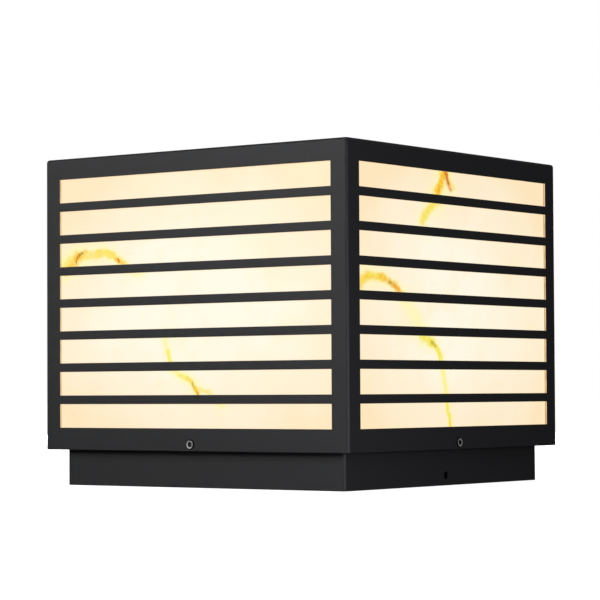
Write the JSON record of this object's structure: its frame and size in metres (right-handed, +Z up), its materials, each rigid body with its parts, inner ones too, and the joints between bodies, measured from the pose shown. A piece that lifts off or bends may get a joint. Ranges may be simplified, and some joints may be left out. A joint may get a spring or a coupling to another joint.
{
  "type": "pillar-top garden lantern",
  "caption": "Square slotted steel pillar lantern with glowing marble-pattern panels, a lift-off housing on a recessed plinth, and a screw-in lamp.",
  "frame": {"origin": "centre of the foot, on the pillar's top face", "axes": "+Z up, -Y the front face, +X the right-hand face, which has one of the plinth's lock screws"},
  "size_m": [0.302, 0.302, 0.2632],
  "materials": {
    "powder_coat": "fine-texture black powder coat",
    "marble_panel": "translucent marble-pattern sheet, lit from behind",
    "foam": "closed-cell foam tape",
    "zinc_steel": "zinc plated",
    "stainless": "plain stainless",
    "rivet_aluminium": "plain",
    "black_steel": "black oxide",
    "gland_nylon": "moulded nylon",
    "black_rubber": "moulded rubber",
    "porcelain": "white glaze",
    "brass": "plain",
    "terminal_plastic": "moulded polyamide",
    "lead_brown": "silicone insulation",
    "lead_blue": "silicone insulation",
    "lead_green": "silicone insulation, green with a yellow stripe",
    "lamp_cap": "nickel plated",
    "lamp_insulator": "black glass",
    "lamp_plastic": "moulded, white",
    "lamp_aluminium": "white solder mask on aluminium",
    "lamp_phosphor": "phosphor",
    "lamp_opal": "opal"
  },
  "bodies": {
    "base": {"plinth": "powder_coat", "tray": "powder_coat", "mounting_plate": "zinc_steel", "lock_brackets": "zinc_steel", "lampholder_bracket": "zinc_steel", "lock_nuts": "zinc_steel", "lampholder_nuts": "zinc_steel", "lampholder_screws": "zinc_steel", "terminal_screws": "zinc_steel", "terminal_fixings": "zinc_steel", "tray_rivets": "rivet_aluminium", "bracket_rivets": "rivet_aluminium", "plinth_lock_screws": "black_steel", "gland_body": "gland_nylon", "gland_dome_nut": "gland_nylon", "gland_locknut": "gland_nylon", "gland_seal": "black_rubber", "gland_washer": "black_rubber", "lampholder_body": "porcelain", "lampholder_shell": "brass", "lampholder_contact": "brass", "terminal_inserts": "brass", "earth_tag": "brass", "earth_nut": "brass", "earth_stud": "brass", "terminal_block": "terminal_plastic", "live_lead": "lead_brown", "neutral_lead": "lead_blue", "earth_lead": "lead_green"},
    "shade": {"front_wall": "powder_coat", "right_wall": "powder_coat", "rear_wall": "powder_coat", "left_wall": "powder_coat", "top_cover": "powder_coat", "front_diffuser": "marble_panel", "right_diffuser": "marble_panel", "rear_diffuser": "marble_panel", "left_diffuser": "marble_panel", "front_foam_tape": "foam", "right_foam_tape": "foam", "rear_foam_tape": "foam", "left_foam_tape": "foam", "corner_retainer_front_right": "zinc_steel", "corner_retainer_rear_right": "zinc_steel", "corner_retainer_rear_left": "zinc_steel", "corner_retainer_front_left": "zinc_steel", "retainer_studs": "stainless", "retainer_nuts": "stainless", "housing_screws": "stainless", "housing_nuts": "stainless"},
    "bulb_carrier": {"bulb_contact": "lamp_cap"},
    "bulb": {"bulb_insulator": "lamp_insulator", "bulb_cap": "lamp_cap", "bulb_body": "lamp_plastic", "bulb_led_plate": "lamp_aluminium", "bulb_leds": "lamp_phosphor", "bulb_globe": "lamp_opal"}
  },
  "joints": [
    {"name": "shade_lift", "type": "slide", "parent": "base", "child": "shade", "axis": [0, 0, 1], "range_m": [0, 0.16]},
    {"name": "bulb_rise", "type": "slide", "parent": "base", "child": "bulb_carrier", "axis": [0, 0, 1], "range_m": [0, 0.0128]},
    {"name": "bulb_turn", "type": "hinge", "parent": "bulb_carrier", "child": "bulb", "pos_m": [0, 0, 0.0632], "axis": [0, 0, 1], "range_deg": [0, 1260]}
  ],
  "couplings": [
    {"joint": "bulb_rise", "follows": "bulb_turn", "m_per_rad": 0.00057773}
  ]
}
